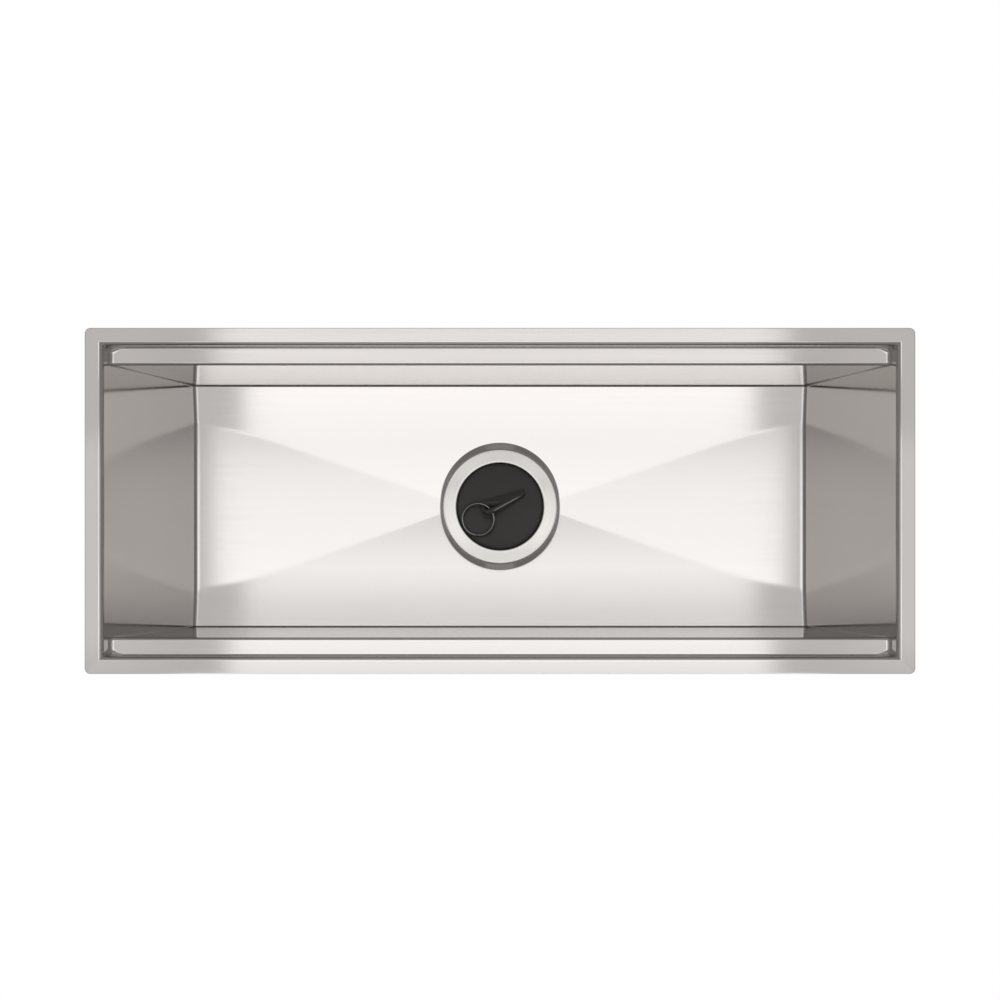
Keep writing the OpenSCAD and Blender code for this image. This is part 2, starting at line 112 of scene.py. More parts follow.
def brushed(name, colour, rough, spread, grain):
    """Brushed steel. grain is the way the scratches run, or None for scratches round the Z axis."""
    made, tree, principled = shader(name)
    place = add(tree, "TexCoord").outputs["Object"]
    normal = add(tree, "NewGeometry").outputs["Normal"]
    if grain is None:
        along = add(tree, "VectorMath", {0: (0, 0, 1), 1: place}, operation="CROSS_PRODUCT").outputs[0]
        parts = add(tree, "SeparateXYZ", {0: place}).outputs
        flat = add(tree, "CombineXYZ", {0: parts[0], 1: parts[1]}).outputs[0]
        radius = add(tree, "VectorMath", {0: flat}, operation="LENGTH").outputs["Value"]
        stretched = add(tree, "CombineXYZ", {0: radius, 2: parts[2]}).outputs[0]
        scale, coarse = (SCRATCHES,) * 3, (STREAKS_ROUND,) * 3
    else:
        along = grain
        stretched = place
        scale = tuple(SCRATCHES_ALONG if g else SCRATCHES for g in grain)
        coarse = tuple(STREAKS_ALONG if g else STREAKS for g in grain)
    across = add(tree, "VectorMath", {0: normal, 1: along}, operation="CROSS_PRODUCT").outputs[0]
    fine = add(tree, "Mapping", {"Vector": stretched, "Scale": scale}).outputs[0]
    fine = add(tree, "TexNoise", {"Vector": fine, "Scale": 1.0, "Detail": 3.0, "Roughness": 0.6}).outputs[0]
    wide = add(tree, "Mapping", {"Vector": stretched, "Scale": coarse}).outputs[0]
    wide = add(tree, "TexNoise", {"Vector": wide, "Scale": 1.0, "Detail": 2.0}).outputs[0]
    both = add(tree, "Math", {0: fine, 1: wide}, operation="ADD").outputs[0]
    roughness = add(tree, "MapRange", {"Value": both, "From Min": 0.7, "From Max": 1.3,
                                       "To Min": rough * 0.88, "To Max": rough * 1.12}).outputs[0]
    bump = add(tree, "Bump", {"Height": both, "Strength": 0.2, "Distance": 0.000002}).outputs[0]
    feed(tree, principled, {"Base Color": linear(colour), "Metallic": 1.0, "Anisotropic": spread,
                            "Roughness": roughness, "Tangent": across, "Normal": bump})
    return made


def side_y(z):
    """How far out the wet face of a long panel is, at a height."""
    if z > -LONG_BEND_R:
        return OPEN_Y + LONG_BEND_R - math.sqrt(max(0, LONG_BEND_R ** 2 - (z + LONG_BEND_R) ** 2))
    if z > LEDGE_Z + ROOT_R:
        return OPEN_Y
    if z >= LEDGE_Z:
        return OPEN_Y - ROOT_R + math.sqrt(max(0, ROOT_R ** 2 - (z - LEDGE_Z - ROOT_R) ** 2))
    if z > LEDGE_Z - LEDGE_R:
        return WALL_Y + LEDGE_R - math.sqrt(max(0, LEDGE_R ** 2 - (z - LEDGE_Z + LEDGE_R) ** 2))
    return WALL_Y


def end_bend(count):
    """The end panel's bend: a tight lead-in of 22 degrees, then an easy curve down to the wall."""
    out = []
    for turn in np.linspace(BEND_START, math.pi / 2 - LEAN, count):
        lead = min(turn, END_LEAD)
        rest = max(turn, END_LEAD)
        out.append((END_LEAD_R * math.sin(lead) + END_BEND_R * (math.sin(rest) - math.sin(END_LEAD)),
                    END_LEAD_R * (1 - math.cos(lead)) + END_BEND_R * (math.cos(END_LEAD) - math.cos(rest))))
    start = OPEN_X - out[-1][1] * math.tan(LEAN) + out[-1][0]
    return [(start - inward, -down) for inward, down in out]


BEND = end_bend(18)
BEND_X = BEND[0][0] + END_LEAD_R * math.sin(BEND_START)


def end_x(z):
    """How far out the wet face of an end panel is, at a height."""
    if z > BEND[-1][1]:
        depths, reaches = [0.0] + [-down for _, down in BEND], [BEND_X] + [x for x, _ in BEND]
        return float(np.interp(-z, depths, reaches))
    return OPEN_X + z * math.tan(LEAN)


def arc(centre, radius, start, stop, count):
    """Points (out, z) on an arc, from one angle in degrees to another."""
    turns = np.radians(np.linspace(start, stop, count))
    return [(centre[0] + radius * math.cos(t), centre[1] + radius * math.sin(t)) for t in turns]


def flange_section(rim, inner):
    """The top of the flange in section, from its rounded outer edge in to its bend."""
    outer = arc((rim - EDGE_R, -EDGE_R), EDGE_R, 0, 90, EDGE_STEPS)
    return outer + [(out, 0.0) for out in np.linspace(rim - 1.2, inner, 12)]


def half_row(start, end):
    """Places along half a panel: wide apart from its middle to start, then close together to end."""
    return np.r_[np.linspace(0, start, ROW_STEPS), np.linspace(start, end, END_STEPS + 1)[1:]]


def flange_row(half_along, half_out, out, z):
    """Half a row on the flange: straight, then round its share of the outer corner."""
    inset = half_out - out
    straight = half_along - CORNER_R - max(0.0, inset - CORNER_R)
    radius = max(0.0, CORNER_R - inset)
    row = []
    for s in half_row(half_along - FLANGE_STRETCH, straight + radius * math.pi / 4):
        turn = max(0.0, s - straight) / radius if radius > 0 else 0.0
        row.append((min(s, straight) + radius * math.sin(turn), out - radius * (1 - math.cos(turn)), z))
    return row


def rows_of(profile, half_along, half_out, along_end, flange_rows):
    """Half rows (along, out, z) for each point of a section; the first ones lie on the flange."""
    rows = []
    for i, (out, z) in enumerate(profile):
        if i < flange_rows:
            rows.append(flange_row(half_along, half_out, out, z))
        else:
            end = along_end(i, z)
            rows.append([(a, out, z) for a in half_row(end - WALL_STRETCH, end)])
    return rows


def folded_panel(name, wet, dry, side, across_x, material):
    """A folded sheet from the half rows of its two faces, on the plus or minus side of the sink."""
    points = []
    for row in wet + dry[::-1]:
        whole = [(-a, side * o, z) for a, o, z in row[:0:-1]] + [(a, side * o, z) for a, o, z in row]
        points += [(o, a, z) if across_x else (a, o, z) for a, o, z in whole]
    half = len(wet)
    count, width = 2 * half, 2 * len(wet[0]) - 1
    faces = [(i * width + j, i * width + j + 1, (i + 1) % count * width + j + 1, (i + 1) % count * width + j)
             for i in range(count) for j in range(width - 1)]
    for i in range(half - 1):
        k = count - 1 - i
        for j in (0, width - 1):
            faces.append((i * width + j, (i + 1) * width + j, (k - 1) * width + j, k * width + j))
    return mesh_piece(name, points, faces, material)


def offset(profile, thick):
    """The other face of the sheet, for a section that runs in from the rim and down."""
    p = np.array(profile)
    step = np.gradient(p, axis=0)
    step /= np.linalg.norm(step, axis=1)[:, None]
    return [tuple(q) for q in p + thick * np.c_[-step[:, 1], step[:, 0]]]


steel_along_x = brushed("stainless_brushed_along", STEEL, SATIN_ROUGH, SATIN_SPREAD, (1, 0, 0))

flange = flange_section(RIM_Y, OPEN_Y + LONG_BEND_R)
long_wet = flange + arc((OPEN_Y + LONG_BEND_R, -LONG_BEND_R), LONG_BEND_R, 95, 180, 14)
long_wet += [(OPEN_Y, z) for z in np.linspace(-5.5, -12, 4)]
long_wet += arc((OPEN_Y - ROOT_R, LEDGE_Z + ROOT_R), ROOT_R, 0, -90, 9)
long_wet += [(y, LEDGE_Z) for y in np.linspace(OPEN_Y - ROOT_R - 1, WALL_Y + LEDGE_R + 0.6, 12)]
long_wet += arc((WALL_Y + LEDGE_R, LEDGE_Z - LEDGE_R), LEDGE_R, 90, 180, 12)
long_foot = FLOOR_Z + FLOOR_FALL / CREASE_Y * WALL_Y - SHEET
long_wet += [(WALL_Y, z) for z in np.linspace(-20, long_foot, 30)]
long_dry = [(y, -SHEET) for y, z in long_wet[:EDGE_STEPS]] + offset(long_wet, SHEET)[EDGE_STEPS:]
wet_rows = rows_of(long_wet, RIM_X, RIM_Y, lambda i, z: end_x(z), len(flange))
dry_rows = rows_of(long_dry, RIM_X, RIM_Y, lambda i, z: end_x(long_wet[i][1]), len(flange))
for side, where in ((1, "back"), (-1, "front")):
    panel = folded_panel(f"{where}_panel_folded", wet_rows, dry_rows, side, False, steel_along_x)
    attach(panel, "sink")
    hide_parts(f"{where}_panel")

# End panels
# Each end is a sheet folded once at the rim, leaning in towards the floor, notched round the ledges.
# Same steel, brushed across the sink on the flange and the wall.
BELOW_BEND, BELOW_LEDGE = -4.2, -20
steel_along_y = brushed("stainless_brushed_across", STEEL, SATIN_ROUGH, SATIN_SPREAD, (0, 1, 0))
flange = flange_section(RIM_X, BEND_X)
end_foot = FLOOR_Z + FLOOR_FALL - SHEET
heights = [z for y, z in long_wet if BELOW_BEND > z > LEDGE_Z]
heights += [LEDGE_Z, LEDGE_Z, LEDGE_Z - SHEET, LEDGE_Z - SHEET]
heights += [z for y, z in long_wet if LEDGE_Z - SHEET > z > BELOW_LEDGE]
heights += list(np.linspace(BELOW_LEDGE - 2, end_foot, 30))
end_wet = flange + BEND
folded = len(end_wet)
end_wet += [(end_x(z), z) for z in heights]
lean_out = (math.cos(LEAN), -math.sin(LEAN))
end_dry = [(x, -SHEET) for x, z in flange]
for (x, z), turn in zip(BEND, np.linspace(BEND_START, math.pi / 2 - LEAN, len(BEND))):
    end_dry.append((x + SHEET * math.sin(turn), z - SHEET * math.cos(turn)))
end_dry += [(end_x(z) + SHEET * lean_out[0], z + SHEET * lean_out[1]) for z in heights]
jump = folded + heights.index(LEDGE_Z) + 1


def end_reach(i, z):
    """How far an end panel's row reaches: to the long panels, and right across the ledge's ends."""
    return OPEN_Y if i in (jump, jump + 1) else side_y(z)


def dry_reach(i, z):
    """The same for its outer face, where a row of the wall goes on over the long panel's sheet."""
    return end_reach(i, end_wet[i][1]) + (SHEET if i >= folded else 0)


wet_rows = rows_of(end_wet, RIM_Y, RIM_X, end_reach, len(flange))
dry_rows = rows_of(end_dry, RIM_Y, RIM_X, dry_reach, len(flange))
for side, where in ((1, "right"), (-1, "left")):
    panel = folded_panel(f"{where}_end_folded", wet_rows, dry_rows, side, True, steel_along_y)
    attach(panel, "sink")
    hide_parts(f"{where}_end_panel")

# Ledge ends
# Where a long panel meets an end wall the corner is welded and ground to a hollow, widest on the ledge.
# Same steel, ground by hand, so it shines alike in all directions.
WELD_R, WELD_ROOT_R, WELD_TIP_R, WELD_RUN, WELD_TOP = 4.2, 5.6, 1.3, 11.0, -4.6
WELD_GAP, WELD_THICK = 0.02, 0.5
steel_ground = brushed("stainless_ground_weld", STEEL, 0.16, 0.0, (0, 0, 1))


def weld_path(root):
    """Points (y, z), normals (y, z) and hollow radii down a corner, with a root radius on the ledge."""
    out = []
    for z in np.linspace(WELD_TOP, LEDGE_Z + root, 6)[:-1]:
        grow = (z - WELD_TOP) / (LEDGE_Z + WELD_ROOT_R - WELD_TOP)
        out.append((OPEN_Y, z, -1.0, 0.0, 0.5 + (WELD_R - 0.5) * min(1.0, grow) ** 1.5))
    for y, z in arc((OPEN_Y - root, LEDGE_Z + root), root, 0, -90, 10):
        out.append((y, z, (OPEN_Y - root - y) / root, (LEDGE_Z + root - z) / root, WELD_R))
    for y in np.linspace(OPEN_Y - root, WALL_Y + LEDGE_R, 7)[1:-1]:
        out.append((y, LEDGE_Z, 0.0, 1.0, WELD_R))
    for i, (y, z) in enumerate(arc((WALL_Y + LEDGE_R, LEDGE_Z - LEDGE_R), LEDGE_R, 90, 180, 9)):
        normal_y, normal_z = (y - WALL_Y - LEDGE_R) / LEDGE_R, (z - LEDGE_Z + LEDGE_R) / LEDGE_R
        out.append((y, z, normal_y, normal_z, WELD_R - 0.32 * i))
    # Down the wall the hollow dies away under the ledge and grows again towards the floor.
    for z in (-20, -23, -27, -32, -38, -45, -55, -70, -90, -110, -130, -150, -170, -182.5):
        hollow = 0.35 + 1.9 * math.exp((z + 18) / 22) + 2.0 * math.exp((-183 - z) / 40)
        out.append((WALL_Y, z, -1.0, 0.0, hollow))
    return out


def two_faced(name, rows, material, smooth=35):
    """A thin closed piece from rows of pairs: a point on its face and the one behind it."""
    tall, wide = len(rows), len(rows[0])
    points = [pair[layer] for layer in (0, 1) for row in rows for pair in row]
    total = wide * tall
    faces = []
    for i in range(tall - 1):
        for j in range(wide - 1):
            square = (i * wide + j, i * wide + j + 1, (i + 1) * wide + j + 1, (i + 1) * wide + j)
            faces += [square, tuple(total + k for k in square[::-1])]
    border = list(range(wide)) + [i * wide + wide - 1 for i in range(1, tall)]
    border += [(tall - 1) * wide + j for j in range(wide - 2, -1, -1)]
    border += [i * wide for i in range(tall - 2, 0, -1)]
    faces += [(a, b, total + b, total + a) for a, b in zip(border, border[1:] + border[:1])]
    return mesh_piece(name, points, faces, material, smooth)


end_normal = np.array([-math.cos(LEAN), 0.0, math.sin(LEAN)])
weld_runs = [(WELD_TIP_R + (WELD_ROOT_R - WELD_TIP_R) * (1 - run / WELD_RUN) ** 2, run, 0.0)
             for run in np.linspace(WELD_RUN, 0, 14)[:-1]]
weld_runs += [(WELD_ROOT_R, 0.0, share) for share in np.linspace(0, 1, 12)]
for side, where in ((1, "right"), (-1, "left")):
    for long_side, beside in ((1, "back"), (-1, "front")):
        rows = []
        for root, run, share in weld_runs:
            row = []
            for y, z, ny, nz, radius in weld_path(root):
                panel_normal = np.array([0.0, ny, nz])
                into = panel_normal + end_normal
                cosine = float(panel_normal @ end_normal)
                angle = math.acos(cosine)
                centre = np.array([end_x(z), y, z]) + radius / (1 + cosine) * into
                towards = (panel_normal * math.sin((1 - share) * angle)
                           + end_normal * math.sin(share * angle)) / math.sin(angle)
                point = centre - radius * towards - WELD_GAP * into - (run, 0, 0)
                behind = point - WELD_THICK * into
                row.append((point * (side, long_side, 1), behind * (side, long_side, 1)))
            rows.append(row)
        weld = two_faced(f"corner_weld_{where}_{beside}", rows, steel_ground, 60)
        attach(weld, "sink")

# Floor
# The floor is creased in four panels that fall to the waste, and dished round the waste hole.
# Same steel and grain as the long sides.
CREASE_X, LIFT_Y, LIFT = 38.0, 60, 0.0005
SLOPE_X = FLOOR_FALL / (FLOOR_X - CREASE_X)
SLOPE_Y = FLOOR_FALL / CREASE_Y
HOLE_R, SEAT_R, SEAT_Z, DISH, DISH_R = 45.0, 54.75, -192.5, math.radians(30), 68
END_FOOT_R, LONG_FOOT_R, FOOT_LEAD, FOOT_LEAD_TURN = 4.0, 1.7, 0.35, math.radians(20)
RIDGE_EASE, CREASE_EASE, EASE_RISE, DISH_EASE = 0.03, 0.035, 0.04, 0.16
END_SIDE_STEPS, LONG_SIDE_STEPS = 96, 240


def soft_max(a, b, width):
    """The greater of two heights, eased where they cross."""
    return (a + b + np.sqrt((a - b) ** 2 + width ** 2)) / 2


def floor_height(x, y):
    """Height of the creased floor, which also lifts a little near the long walls."""
    along = soft_max(0.0, SLOPE_X * (abs(x) - CREASE_X), RIDGE_EASE)
    lift = np.maximum(0.0, abs(y) - LIFT_Y) ** 2 * LIFT
    across = np.sqrt((SLOPE_Y * y) ** 2 + RIDGE_EASE ** 2) + lift
    return FLOOR_Z + soft_max(along, across, CREASE_EASE) - EASE_RISE


def foot_arc(turn):
    """How far out and up a foot of radius 1 has come at a turn: a tight lead-in, then the radius."""
    lead, rest = np.minimum(turn, FOOT_LEAD_TURN), np.maximum(turn, FOOT_LEAD_TURN)
    return (FOOT_LEAD * np.sin(lead) + np.sin(rest) - math.sin(FOOT_LEAD_TURN),
            FOOT_LEAD * (1 - np.cos(lead)) + math.cos(FOOT_LEAD_TURN) - np.cos(rest))


def join_loops(loops, count, closed):
    """Faces from each loop of points to the next, closed on the first loop or capped at both ends."""
    faces = []
    for i in range(loops if closed else loops - 1):
        here, beyond = i * count, (i + 1) % loops * count
        for j in range(count):
            k = (j + 1) % count
            faces.append((here + j, here + k, beyond + k, beyond + j))
    if not closed:
        faces += [tuple(range(count))[::-1], tuple((loops - 1) * count + j for j in range(count))]
    return faces


long_reach = LONG_FOOT_R * float(foot_arc(math.pi / 2)[0])
edge_x, edge_y = FLOOR_X - END_FOOT_R, WALL_Y - long_reach
ring = []
for x0, y0, x1, y1, nx, ny, steps in (
        (1, -1, 1, 1, 1, 0, END_SIDE_STEPS), (1, 1, -1, 1, 0, 1, LONG_SIDE_STEPS),
        (-1, 1, -1, -1, -1, 0, END_SIDE_STEPS), (-1, -1, 1, -1, 0, -1, LONG_SIDE_STEPS)):
    for t in np.linspace(0, 1, steps + 1):
        ring.append((edge_x * (x0 + (x1 - x0) * t), edge_y * (y0 + (y1 - y0) * t), nx, ny))
    for turn in np.radians(np.linspace(15, 75, 5)):
        ring.append((edge_x * x1, edge_y * y1, nx * math.cos(turn) - ny * math.sin(turn),
                     ny * math.cos(turn) + nx * math.sin(turn)))
ring = np.array(ring)
foot_out, foot_up = foot_arc(math.pi / 2 - LEAN)
foot_turn = END_FOOT_R * float(foot_out - foot_up * math.tan(LEAN))
corner_x = end_x(floor_height(edge_x, edge_y)) - foot_turn
for point in ring:
    if point[2]:
        point[0] = math.copysign(end_x(floor_height(edge_x, point[1])) - foot_turn, point[0])
    else:
        point[0] *= corner_x / edge_x
theta = np.arctan2(ring[:, 1], ring[:, 0])
reach = np.hypot(ring[:, 0], ring[:, 1])
wet = []
for r, z in ((HOLE_R, SEAT_Z), (HOLE_R + 4, SEAT_Z), (SEAT_R - 0.6, SEAT_Z), (SEAT_R, SEAT_Z + 0.06)):
    wet.append(np.c_[r * np.cos(theta), r * np.sin(theta), np.full(len(ring), z)])
for r in np.linspace(SEAT_R + 0.6, DISH_R, 36):
    x, y = r * np.cos(theta), r * np.sin(theta)
    cone = SEAT_Z + (r - SEAT_R) * math.tan(DISH)
    wet.append(np.c_[x, y, -soft_max(-floor_height(x, y), -cone, DISH_EASE)])
for t in np.linspace(0, 1, 91)[1:]:
    r = DISH_R + (reach - DISH_R) * t
    x, y = r * np.cos(theta), r * np.sin(theta)
    wet.append(np.c_[x, y, floor_height(x, y)])
inner = wet[-1]
steepest = np.where(np.abs(ring[:, 2]) > 0, math.pi / 2 - LEAN * ring[:, 2] ** 2, math.pi / 2)
foot = (LONG_FOOT_R + (END_FOOT_R - LONG_FOOT_R) * ring[:, 2] ** 2)[:, None]
for share in np.r_[0.06:0.22:4j, np.linspace(0.26, 1, 9)]:
    out, up = foot_arc(steepest * share)
    wet.append(inner + foot * np.c_[ring[:, 2] * out, ring[:, 3] * out, up])
# The dry face follows a few of the wet loops, from the outside in.
dry = [wet[-1] - foot * (0, 0, 1) - (0, 0, SHEET)]
dry += [w - (0, 0, SHEET) for w in (wet[-14], wet[-44], wet[40], wet[12], wet[4], wet[0])]
loops = wet + dry
floor = mesh_piece("floor_creased", np.vstack(loops), join_loops(len(loops), len(ring), True), steel_along_x)
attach(floor, "sink")
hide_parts("floor_pan")

# Waste
# Stainless pressing, polished round: a flange that lies over the floor's recess, with a rolled lip.
# Its fine lines run round it, so it catches the light in two fans; the cup has a rolled thread.
PIPE_PITCH, PIPE_DEPTH, THREAD_R, THREAD_LOW, THREAD_HIGH = 2.3, 0.7, 44.6, -218, -200
steel_round = brushed("stainless_polished_round", "DEDBD7", 0.18, 0.3, None)


def turned(profile, count=192, closed=True):
    """Points and faces of a section (radius, z) turned round the Z axis, closed or capped."""
    turns = np.linspace(0, 2 * math.pi, count, endpoint=False)
    points = [(r * math.cos(t), r * math.sin(t), z) for r, z in profile for t in turns]
    return points, join_loops(len(profile), count, closed)


def screw_thread(radius, low, high, pitch, depth, bore, count):
    """Points and faces of a thread round the Z axis: ridges on a rod, or on a tube with a bore."""
    turns = np.linspace(0, 2 * math.pi, count, endpoint=False)
    points = []
    for z in np.linspace(low, high, int((high - low) / pitch * 8) + 1):
        fade = max(0.0, min(1.0, (z - low) / pitch, (high - z) / pitch))
        ridges = np.abs((z / pitch - turns / (2 * math.pi)) % 1 * 2 - 1)
        reaches = radius - depth + depth * fade * ridges
        points += [(r * math.cos(t), r * math.sin(t), z) for t, r in zip(turns, reaches)]
    if bore:
        points += [(bore * math.cos(t), bore * math.sin(t), z) for z in (high, low) for t in turns]
    return points, join_loops(len(points) // count, count, bool(bore))


waste = [(41.8, -203), (42.6, -197), (43.3, -191)] + arc((44.1, -190.0), 0.8, 175, 105, 8)
waste += [(44.3, -189.13), (44.7, -189.07), (45.2, -189.05), (45.8, -189.07), (46.8, -189.14)]
waste += [(48, -189.22), (50, -189.34), (52, -189.47), (54, -189.6), (55.8, -189.71), (56.6, -189.8)]
waste += [(57.0, -190.0), (57.2, -190.5), (57.2, -190.8), (57.0, -190.9), (55, -191), (44, -191)]
waste += [(44, -218.2), (43, -219.6), (43, -232), (42.4, -233.9), (41.2, -235.2), (39, -236)]
waste += [(20.2, -236), (20.2, -234), (38, -232), (38, -230), (41.8, -230)]
cup = mesh_piece("waste_flange_and_cup", *turned(waste), steel_round)
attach(cup, "sink")
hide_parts("waste_body")

thread = screw_thread(THREAD_R, THREAD_LOW, THREAD_HIGH, PIPE_PITCH, PIPE_DEPTH, THREAD_R - 1, 144)
thread = mesh_piece("waste_cup_thread", *thread, steel_round, 20)
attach(thread, "sink")
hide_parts("waste_body")

# Plug
# Moulded black rubber: a disc with a bevelled rim, hollow below, and a leaning tab for the ring.
# Dull, with the fine pits of its mould and a soft sheen at the edges; the highlight along the tab's upper
# edge is painted, in pale rubber.
PLUG_Z, TAB_TURN, TAB_LEAN, TAB_THICK = -189.0, math.radians(15.6), math.radians(42), 4.0
TAB_ROOT, LOBE, LOBE_R, LOW, LOW_R = (-4.0, 7.5), (-9.0, 11.0), 7.5, (26.7, 3.5), 2.5
TAB_EDGE_R, TAB_FOOT = 0.9, -2.0
EYE, EYE_R, EYE_TURN, DRILL_SIDES = (-10.6891, -2.00958, -180.825), 3.4, math.radians(315), 48

# The pits are drawn 0.4 mm across, as coarse as they need to be to show; the patches are 17 mm.
rubber, tree, principled = shader("rubber_moulded_black")
place = add(tree, "TexCoord").outputs["Object"]
pits = add(tree, "TexNoise", {"Vector": place, "Scale": 2600.0, "Detail": 4.0}).outputs[0]
patches = add(tree, "TexNoise", {"Vector": place, "Scale": 60.0, "Detail": 2.0}).outputs[0]
rough = add(tree, "MapRange", {"Value": patches, "To Min": 0.62, "To Max": 0.75}).outputs[0]
bump = add(tree, "Bump", {"Height": pits, "Strength": 0.25, "Distance": 0.00003}).outputs[0]
feed(tree, principled, {"Base Color": linear("363433"), "Roughness": rough, "Normal": bump})

top = [(0, 0), (10, 0), (20, 0), (30, 0), (36, 0), (38, 0.02), (38.8, 0.10), (39.8, 0.34), (40.8, 0.68),
       (41.5, 1.1), (42.1, 1.65), (42.6, 2.3)]
top = [(r, PLUG_Z - down) for r, down in top]
flank = [(42.95, -192), (42.5, -195.5), (42.0, -199), (41.75, -200.6), (41.4, -201), (36.4, -201)]
under = [(36, -200.7), (35.2, -196), (34.6, -195.2), (20, -195), (0, -195)]
disc = mesh_piece("plug_disc", *turned(top + flank + under), rubber)

lobe, low = np.array(LOBE), np.array(LOW)
slope = low - lobe
edge_turn = math.atan2(slope[1], slope[0]) + math.acos((LOBE_R - LOW_R) / np.hypot(*slope))
outward = np.array([math.cos(edge_turn), math.sin(edge_turn)])


def tab_round(centre, radius, start, stop, count):
    """Outline points (s, h) and their normals round one of the tab's two ends."""
    return [(centre[0] + radius * math.cos(t), centre[1] + radius * math.sin(t), math.cos(t), math.sin(t))
            for t in np.linspace(start, stop, count)]


def tab_edge(share):
    """A point (s, h) on the tab's sloping edge, from its lobe to its low end."""
    return lobe + slope * share + (LOBE_R + (LOW_R - LOBE_R) * share) * outward


def at_tab(s, h, t):
    """A place on the tab, from along its root, up its face and through it, in millimetres."""
    out = -t * math.cos(TAB_LEAN) - h * math.sin(TAB_LEAN)
    up = -t * math.sin(TAB_LEAN) + h * math.cos(TAB_LEAN)
    return (TAB_ROOT[0] + s * math.cos(TAB_TURN) - out * math.sin(TAB_TURN),
            TAB_ROOT[1] + s * math.sin(TAB_TURN) + out * math.cos(TAB_TURN), PLUG_Z + up)


outline = [(LOBE[0] - LOBE_R, h, -1.0, 0.0) for h in (TAB_FOOT, 4.0, 8.0)]
outline += tab_round(LOBE, LOBE_R, math.pi, edge_turn, 20)
outline += [tuple(tab_edge(share)) + tuple(outward) for share in np.linspace(0, 1, 16)[1:-1]]
outline += tab_round(LOW, LOW_R, edge_turn, 0, 10) + [(LOW[0] + LOW_R, TAB_FOOT, 1.0, 0.0)]
layers = [(TAB_THICK / 2 - TAB_EDGE_R + TAB_EDGE_R * math.sin(t), TAB_EDGE_R - TAB_EDGE_R * math.cos(t))
          for t in np.linspace(0, math.pi / 2, 6)]
layers = [(-t, inset) for t, inset in layers[::-1]] + layers
points = [at_tab(s - inset * ns, h - inset * nh if h > 0 else h, t)
          for t, inset in layers for s, h, ns, nh in outline]
tab = mesh_piece("plug_tab", points, join_loops(len(layers), len(outline), False), rubber, 50)

axis = np.array([math.cos(EYE_TURN), math.sin(EYE_TURN), 0.0])
beside, above = np.array([-axis[1], axis[0], 0.0]), np.array([0.0, 0.0, 1.0])
points = [np.array(EYE) + axis * along + EYE_R * (math.cos(t) * beside + math.sin(t) * above)
          for along in (-20, 20) for t in np.linspace(0, 2 * math.pi, DRILL_SIDES, endpoint=False)]
drill = mesh_piece("drill", points, join_loops(2, DRILL_SIDES, False), rubber)
cut = tab.modifiers.new("eye", "BOOLEAN")
cut.operation, cut.object, cut.solver = "DIFFERENCE", drill, "EXACT"
bpy.context.view_layer.update()
drilled = tab.evaluated_get(bpy.context.evaluated_depsgraph_get())
tab.data = bpy.data.meshes.new_from_object(drilled)
tab.modifiers.clear()
bpy.data.objects.remove(drill)

# A thin bead along the tab's upper edge carries a painted highlight: pale rubber, in spots of 1 to 2 mm,
# stands in for the light that the edge catches.
HIGHLIGHT_R, HIGHLIGHT_T, HIGHLIGHT_ENDS, HIGHLIGHT_STEPS, HIGHLIGHT_SIDES = 0.85, -0.9, (0.02, 0.9), 24, 12
highlight_rubber, tree, principled = shader("rubber_painted_highlight")
place = add(tree, "TexCoord").outputs["Object"]
highlight_tone = add(tree, "TexNoise", {"Vector": place, "Scale": 700.0, "Detail": 3.0}).outputs[0]
highlight_tone = add(tree, "ValToRGB", {0: highlight_tone})
for stop, colour in zip(highlight_tone.color_ramp.elements, ("5F5C5A", "827F7C")):
    stop.color = linear(colour)
feed(tree, principled, {"Base Color": highlight_tone.outputs[0], "Roughness": 0.4})
points = []
for share in np.linspace(*HIGHLIGHT_ENDS, HIGHLIGHT_STEPS):
    s, h = tab_edge(share)
    thick = HIGHLIGHT_R * min(1.0, 0.25 + 6 * share, 0.25 + 6 * (HIGHLIGHT_ENDS[1] - share))
    points += [at_tab(s + thick * math.cos(t) * outward[0], h + thick * math.cos(t) * outward[1],
                      HIGHLIGHT_T + thick * math.sin(t))
               for t in np.linspace(0, 2 * math.pi, HIGHLIGHT_SIDES, endpoint=False)]
# The bead's pale rubber is the painted highlight of the tab's upper edge.
highlight_bead = mesh_piece("plug_tab_painted_highlight", points, join_loops(HIGHLIGHT_STEPS, HIGHLIGHT_SIDES, False), highlight_rubber, 60)
for piece in (disc, tab, highlight_bead):
    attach(piece, "plug")
    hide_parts("drain_plug")

# Pull ring
# One turn of drawn stainless wire, bent to a ring with its ends butted, through the tab's eye.
# Bright, with the fine lines of the drawing die along it, drawn 1 mm wide so that they show.
RING_R, WIRE_R, RING_TILT, RING_AZIMUTH = 15.8, 1.3, math.radians(11.638), math.radians(225)
BUTT_TURN, BUTT_GAP, BUTT_SHARE, WIRE_STEPS, WIRE_SIDES = math.radians(40), 0.012, 0.6, 150, 24
wire_steel, tree, principled = shader("stainless_drawn_wire")
place = add(tree, "TexCoord").outputs["Object"]
lines = add(tree, "TexNoise", {"Vector": place, "Scale": 900.0, "Detail": 3.0}).outputs[0]
rough = add(tree, "MapRange", {"Value": lines, "To Min": 0.12, "To Max": 0.22}).outputs[0]
feed(tree, principled, {"Base Color": linear("8F8D8A"), "Metallic": 1.0, "Roughness": rough})
turns = BUTT_TURN + np.linspace(BUTT_GAP, 2 * math.pi - BUTT_GAP, WIRE_STEPS)
wires = [(turns[0], WIRE_R * BUTT_SHARE), (turns[0] + BUTT_GAP, WIRE_R)] + [(t, WIRE_R) for t in turns[1:-1]]
wires += [(turns[-1] - BUTT_GAP, WIRE_R), (turns[-1], WIRE_R * BUTT_SHARE)]
points = []
